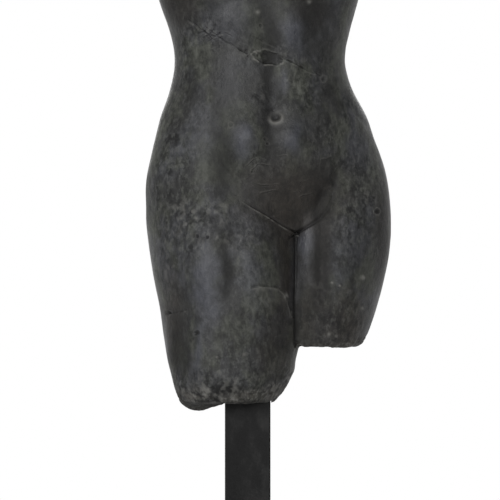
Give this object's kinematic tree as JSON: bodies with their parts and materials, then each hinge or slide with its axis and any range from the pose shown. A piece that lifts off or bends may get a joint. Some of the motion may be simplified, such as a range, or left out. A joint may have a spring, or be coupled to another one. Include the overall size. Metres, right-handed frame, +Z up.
{
  "type": "broken female torso statuette on a square post",
  "caption": "Dark stone statuette of a broken female torso, without head, arms and lower legs, on a square black post and a low block base.",
  "frame": {"origin": "centre of the base's underside, on the post's axis", "axes": "+Z up along the post, +X to the viewer's right, the figure faces -Y"},
  "size_m": [0.1799, 0.1667, 0.5356],
  "materials": {
    "dark_stone": "worn satin dark stone, mottled blue-grey and olive, rough and lighter where broken",
    "black_post": "black satin paint on square bar",
    "black_base": "black satin paint"
  },
  "bodies": {
    "root": {"torso": "dark_stone", "post": "black_post", "base": "black_base"}
  },
  "joints": []
}
